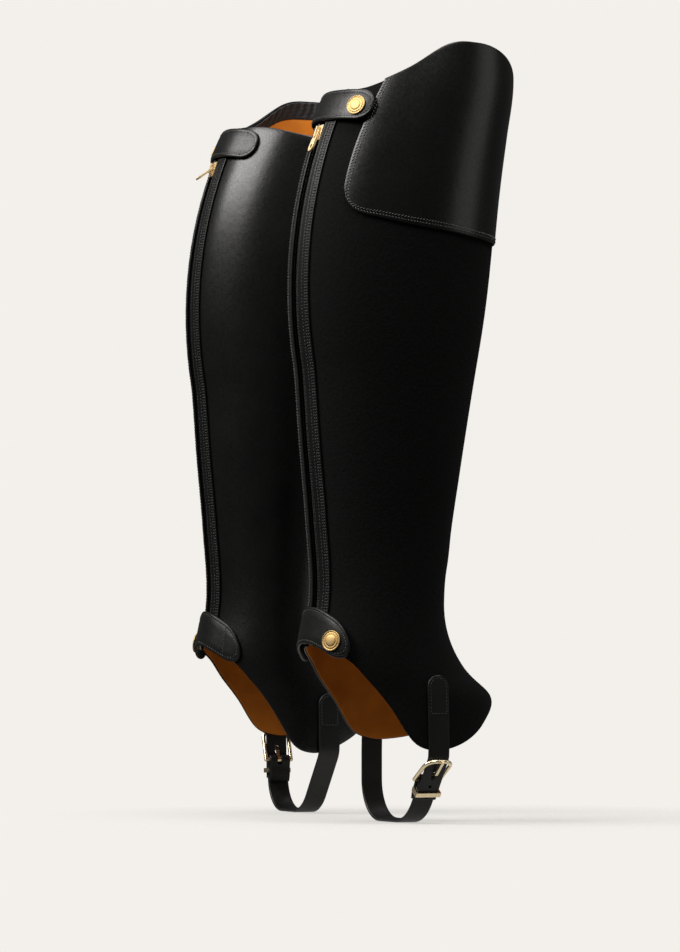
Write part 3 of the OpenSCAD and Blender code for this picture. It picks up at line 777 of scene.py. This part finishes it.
def make_cap(side, which, tab, body):
    """Domed snap cap: rolled rim, a groove, a ring of small beads and a shallow dome."""
    phi = tab[3]
    z = float(tab_mid(tab, phi)) - tab[7]
    s = float(lift_at(phi)) + TAB_T + 0.1
    rim = [(6.3 + 0.45 * math.cos(a), 0.75 + 0.55 * math.sin(a)) for a in np.linspace(-1.2, 2.5, 9)]
    profile = [(6.0, 0.0)] + rim + [(5.6, 0.86), (5.35, 1.02)]
    profile += [(r, 1.05 + 0.85 * math.cos(math.radians(90 * r / 5.6))) for r in (4.9, 4.4)]
    profile += [(4.15, 1.22), (3.9, 1.26), (3.65, 1.52)]
    profile += [(r, 1.15 + 0.8 * math.cos(math.radians(90 * r / 6.2))) for r in (3.2, 2.5, 1.7, 0.9, 0.25)]
    points, faces = lathe(profile, phi, z, s)
    bead_profile = [(0.34, 1.0), (0.3, 1.38), (0.15, 1.52), (0.02, 1.55)]
    up = leg_normal(np.array(phi), np.array(z))
    across = unit(np.cross(up, np.array([0, 0, 1.0])))
    other = np.cross(up, across)
    for k in range(CAP_BEADS):
        a = 2 * math.pi * k / CAP_BEADS
        shift = across * (CAP_BEAD_RING_R * math.cos(a)) + other * (CAP_BEAD_RING_R * math.sin(a))
        more, more_faces = lathe(bead_profile, phi, z, s, steps=8)
        n0 = len(points)
        points += [p + shift for p in more]
        faces += [tuple(n0 + i for i in f) for f in more_faces]
    cap = add_mesh(f"{side}_{which}_cap_brass", place(side, np.array(points)), faces)
    finish_piece(cap, SATIN_BRASS, "brass_hardware", body, f"{side}_{which}_snap_cap")


# ---------------------------------------------------------------- foot strap, billet
def fillet(a, b, c, r, steps=14):
    a, b, c = (np.array(p, float) for p in (a, b, c))
    u, v = unit(a - b), unit(c - b)
    half = math.acos(float(u @ v)) / 2
    centre = b + unit(u + v) * r / math.sin(half)
    start = b + u * r / math.tan(half) - centre
    turn = -(math.pi - 2 * half) * np.sign(u[0] * v[1] - u[1] * v[0])
    made = []
    for i in range(steps + 1):
        t = turn * i / steps
        made.append(centre + np.array([start[0] * math.cos(t) - start[1] * math.sin(t),
                                       start[0] * math.sin(t) + start[1] * math.cos(t)]))
    return made


def strand(side, y, n):
    """Point at a distance y down the strand from the heel bar and n outwards from the billet."""
    way = ROUTES[side]
    top, foot = np.array(way[0]), np.array(way[1])
    u = unit(foot - top)
    return top + u * (way[6] + y) + np.array([-u[1], u[0]]) * (LAYER_STEP + n)


def evenly(line, step):
    """Evenly spaced points of a line and their distances along it."""
    line = np.array(line, float)
    s = run_length(line)
    at = np.linspace(0, s[-1], max(4, int(round(s[-1] / step))))
    return points_at(at, s, line), at


def rounded(line, times=2):
    """Takes the corners off an evenly spaced line, keeping its ends."""
    line = line.copy()
    for _ in range(times):
        line[1:-1] = (line[:-2] + 2 * line[1:-1] + line[2:]) / 4
    return line


def lead(side, y):
    """How far the strap leans forwards towards the inner side."""
    way = ROUTES[side]
    return way[7] * (way[0][0] - y)


def band(name, side, line, round_start=False, round_end=False):
    """Leather strap that follows a line of the plane of Y and Z, with rounded edges and creased borders."""
    step, crease = 1.1, 0.12
    points, at = evenly(line, step)
    points = rounded(points)
    total = at[-1]
    r = STRAP_W / 2
    ends = np.array([0, 0.06, 0.2, 0.45, 0.8, 1.3, 2.0, 3.0, 4.4, 6.0])
    start = ends if round_start else np.array([0, 0.1, 0.35, 0.7, 1.2])
    end = total - (ends if round_end else np.array([0, 0.1, 0.35, 0.7, 1.2]))[::-1]
    middle = np.linspace(start[-1], end[0], max(4, int((end[0] - start[-1]) / step)))[1:-1]
    su = np.concatenate([start, middle, end])
    centre = points_at(su, at, points)
    ahead = points_at(su + 0.6, at, points)
    behind = points_at(su - 0.6, at, points)
    along = unit(ahead - behind)
    normal = np.stack([-along[:, 1], along[:, 0]], -1)
    half = np.full(len(su), r)
    if round_start:
        half = np.minimum(half, np.sqrt(np.clip(r**2 - np.clip(r - su, 0, r) ** 2, 0, None)))
    if round_end:
        half = np.minimum(half, np.sqrt(np.clip(r**2 - np.clip(r - (total - su), 0, r) ** 2, 0, None)))
    vs = edge_lines(STRAP_W, 1.1, 0.55)
    _, v = np.meshgrid(su, vs, indexing="ij")
    across = (2 * v - 1) * half[:, None]
    edge = np.minimum((1 - np.abs(2 * v - 1)) * half[:, None], np.minimum(su, total - su)[:, None])
    thick = STRAP_T / 2 * roundness(edge, 1.0)
    groove = crease * np.exp(-(((edge - 1.7) / 0.35) ** 2))
    made = []
    for sign in (1, -1):
        offset = sign * (thick - groove * (edge > 0.7))
        yz = centre[:, None] + normal[:, None] * offset[..., None]
        x = STRAP_X + lead(side, yz[..., 0]) + across
        made.append(np.stack([x, yz[..., 0], yz[..., 1]], -1))
    all_points, faces = shell_points(*made)
    return add_mesh(name, place(side, all_points), faces)


def cut(obj, cutters):
    """Cuts shapes out of a piece."""
    for k, (points, faces) in enumerate(cutters):
        tool = add_mesh(f"{obj.name}_tool{k}", points, faces, False)
        mod = obj.modifiers.new("cut", "BOOLEAN")
        mod.operation = "DIFFERENCE"
        mod.object = tool
        mod.solver = "EXACT"
        dg = bpy.context.evaluated_depsgraph_get()
        made = bpy.data.meshes.new_from_object(obj.evaluated_get(dg))
        obj.modifiers.clear()
        obj.data = made
        bpy.data.objects.remove(tool)


def buckle_frame_of(side):
    """Origin and axes of the buckle: across, down the strand, outwards."""
    top, foot = (np.array(p, float) for p in ROUTES[side][:2])
    u = unit(foot - top)
    o = strand(side, 0, 0)
    return (np.array([STRAP_X, *o]), np.array([1.0, 0, 0]), np.array([0, *u]), np.array([0, -u[1], u[0]]))


def post(side, outline, n0, n1):
    """Prism on the buckle's frame, from an outline of (across, down) points."""
    o, ax, ay, an = buckle_frame_of(side)
    k = len(outline)
    points = [o + ax * x + ay * y + an * n for n in (n0, n1) for x, y in outline]
    faces = [(i, (i + 1) % k, k + (i + 1) % k, k + i) for i in range(k)]
    faces += [tuple(range(k - 1, -1, -1)), tuple(range(k, 2 * k))]
    return place(side, np.array(points)), faces


def circle(x, y, r, n=20):
    angles = np.linspace(0, 2 * math.pi, n, endpoint=False)
    return [(x + r * math.cos(a), y + r * math.sin(a)) for a in angles]


def make_straps(side):
    way = ROUTES[side]
    heel = strand(side, 0, -LAYER_STEP)
    inner_top = (-float(half_width(STRAP_TOP_Z)) - LAYER_GAP - STRAP_T / 2, STRAP_TOP_Z)
    fold = [strand(side, -WRAP_R * math.sin(b), BAR_N + WRAP_R * math.cos(b))
            for b in np.radians(np.arange(200, 0, -12))]
    line = [strand(side, 15.5, -2 * LAYER_STEP + 0.3), strand(side, 11, FOLD_S), strand(side, 4.2, FOLD_S),
            *fold, heel, strand(side, 2, -LAYER_STEP)]
    line += fillet(heel, way[1], way[3], way[2]) + fillet(way[1], way[3], way[5], way[4])
    line += fillet(way[3], way[5], inner_top, 12, 6) + [inner_top]
    strap = band(f"{side}_foot_strap_leather", side, line, round_end=True)
    slot_outline = [(-1.6, -4.8), (1.6, -4.8), (1.6, 3.2), (-1.6, 3.2)]
    cut(strap, [post(side, slot_outline, BAR_N - 5, -LAYER_STEP + 3)])
    finish_piece(strap, STRAP, "strap_leather", "chaps", f"{side}_foot_strap")

    billet_heights = (BILLET_TOP_Z, 85, BILLET_SEAM_Z, way[0][1] + 5)
    on_panel = [(float(half_width(z)) + LAYER_GAP + STRAP_T / 2, z) for z in billet_heights]
    line = on_panel + [strand(side, -FRAME_REACH - 0.5, 0), strand(side, 13, 0)]
    billet = band(f"{side}_billet_leather", side, line, round_start=True)
    hole = [(1.4 * math.sin(a), -5.9 + 1.4 * math.cos(a)) for a in np.linspace(-1.57, 1.57, 9)]
    hole += [(1.4 * math.sin(a), -9.1 + 1.4 * math.cos(a)) for a in np.linspace(1.57, 4.71, 9)]
    cuts = [post(side, hole, -4, 4)] + [post(side, circle(0, y, 1.1), -4, 4) for y in (1.5, 10.5)]
    cut(billet, cuts)
    for poly in billet.data.polygons:
        poly.use_smooth = True
    finish_piece(billet, STRAP, "strap_leather", "chaps", f"{side}_billet")

    stitches = Stitches(f"{side}_strap_stitches", side)
    r = STRAP_W / 2 - 1.9
    for sign, top, base in ((1, BILLET_TOP_Z, BILLET_SEAM_Z), (-1, STRAP_TOP_Z, STRAP_SEAM_Z)):
        arc = np.linspace(0, math.pi, 24)
        xs = np.concatenate([[r] * 12, r * np.cos(arc), [-r] * 12, np.linspace(-r, r, 16)])
        zs = np.concatenate([np.linspace(base, top - STRAP_W / 2, 12), top - STRAP_W / 2 + r * np.sin(arc),
                             np.linspace(top - STRAP_W / 2, base, 12), np.full(16, base)])
        ys = sign * (half_width(zs) + LAYER_GAP + STRAP_T - 0.1)
        line = np.stack([STRAP_X + (lead(side, ys) if sign < 0 else 0) + xs, ys, zs], -1)
        normals = np.zeros_like(line)
        normals[:, 1] = sign
        stitches.row(line, normals, 2.3, 1.6, width=0.38)
    finish_piece(stitches.done(), THREAD, "strap_leather", "chaps")


for side in SIDES:
    make_panels(side)
    make_lining(side)
    make_zip(side)
    make_patch_seam(side)
    make_front_seam(side)
    for which in TABS:
        make_tab(side, which)
    make_straps(side)

METAL_NODES = ("zip_stops", "snap_studs", "top_snap_socket", "lower_snap_socket", "zip_slider", "zip_pull",
               "buckle_frame", "buckle_prong", "strap_keeper")
for side in SIDES:
    for node in METAL_NODES:
        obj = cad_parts[f"{side}_{node}"]
        obj.data.materials.clear()
        obj.data.materials.append(SLIDER_BRASS if node in ("zip_slider", "zip_pull") else BRASS)

# ---------------------------------------------------------------- floor, light and camera
BACKGROUND = (0.896, 0.871, 0.831)
# The floor gives part of its brightness itself, which keeps the shadows as faint as on a lit studio sweep
FLOOR_GLOW = 0.5
FLOOR_ALBEDO = 0.23
# The floor is seen round this point only and gives way to the even background further out
FLOOR_CENTRE = (0.06, -0.023, 0)
FLOOR_FADE = (0.07, 0.30)


def make_floor():
    radius = 6.0
    bpy.ops.mesh.primitive_circle_add(vertices=96, radius=radius, fill_type="NGON", location=(0, 0, -0.0002))
    floor = bpy.context.object
    floor.name = "floor"
    mat, tree, shader, at = new_material("pale_floor")
    shader.inputs["Base Color"].default_value = (*(FLOOR_ALBEDO * c for c in (1, 0.987, 0.966)), 1)
    shader.inputs["Emission Color"].default_value = (*BACKGROUND, 1)
    shader.inputs["Emission Strength"].default_value = FLOOR_GLOW
    shader.inputs["Roughness"].default_value = 0.9
    shader.inputs["Specular IOR Level"].default_value = 0.1
    distance = tree.nodes.new("ShaderNodeVectorMath")
    distance.operation = "DISTANCE"
    distance.inputs[1].default_value = FLOOR_CENTRE
    tree.links.new(at, distance.inputs[0])
    fade = span(tree, distance.outputs["Value"], 0, 1, FLOOR_FADE)
    clear = tree.nodes.new("ShaderNodeBsdfTransparent")
    blend = tree.nodes.new("ShaderNodeMixShader")
    tree.links.new(fade, blend.inputs[0])
    tree.links.new(shader.outputs[0], blend.inputs[1])
    tree.links.new(clear.outputs[0], blend.inputs[2])
    tree.links.new(blend.outputs[0], tree.nodes["Material Output"].inputs["Surface"])
    floor.data.materials.append(mat)


def make_world():
    world = bpy.data.worlds.new("studio")
    bpy.context.scene.world = world
    world.use_nodes = True
    tree = world.node_tree
    seen = tree.nodes["Background"]
    seen.inputs["Color"].default_value = (*BACKGROUND, 1)
    seen.inputs["Strength"].default_value = 1.0
    lit = tree.nodes.new("ShaderNodeBackground")
    lit.inputs["Color"].default_value = (1, 0.985, 0.96, 1)
    lit.inputs["Strength"].default_value = 0.06
    path = tree.nodes.new("ShaderNodeLightPath")
    blend = tree.nodes.new("ShaderNodeMixShader")
    tree.links.new(path.outputs["Is Camera Ray"], blend.inputs[0])
    tree.links.new(lit.outputs[0], blend.inputs[1])
    tree.links.new(seen.outputs[0], blend.inputs[2])
    tree.links.new(blend.outputs[0], tree.nodes["World Output"].inputs["Surface"])


LIGHT_TARGET = (0, 0, 0.27)
LIGHT_COLOUR = (1, 0.985, 0.96)


def add_light(name, azimuth, elevation, distance, size, power):
    """Soft rectangular light at an azimuth round the object, 0 at its right side and -90 behind it."""
    a, e = math.radians(azimuth), math.radians(elevation)
    back = Vector((math.sin(a) * math.cos(e), -math.cos(a) * math.cos(e), math.sin(e)))
    data = bpy.data.lights.new(name, "AREA")
    data.shape = "RECTANGLE"
    data.size, data.size_y = size
    data.energy = power
    data.color = LIGHT_COLOUR
    light = bpy.data.objects.new(name, data)
    light.location = Vector(LIGHT_TARGET) + back * distance
    light.rotation_mode = "QUATERNION"
    light.rotation_quaternion = (-back).to_track_quat("-Z", "Y")
    bpy.context.scene.collection.objects.link(light)


make_floor()
make_world()
add_light("side_softbox", -91, 39, 1.7, (1.3, 0.66), 44)
add_light("front_high", 8, 58, 1.7, (0.5, 0.5), 17)
add_light("right_softbox", 62, 14, 1.8, (0.8, 1.2), 3)
add_light("overhead", 0, 88, 1.6, (1.6, 1.6), 25)

CAMERA_PLACE = (-1.0501, -2.7520, 0.1016)
CAMERA_AIM = (0.3580, 0.9327, 0.0445)
cam_data = bpy.data.cameras.new("camera")
cam_data.lens = 163.0
cam_data.sensor_width = 36.0
camera = bpy.data.objects.new("camera", cam_data)
camera.location = CAMERA_PLACE
camera.rotation_mode = "QUATERNION"
camera.rotation_quaternion = Vector(CAMERA_AIM).to_track_quat("-Z", "Y")
bpy.context.scene.collection.objects.link(camera)
bpy.context.scene.camera = camera
bpy.context.scene.view_settings.view_transform = "Standard"
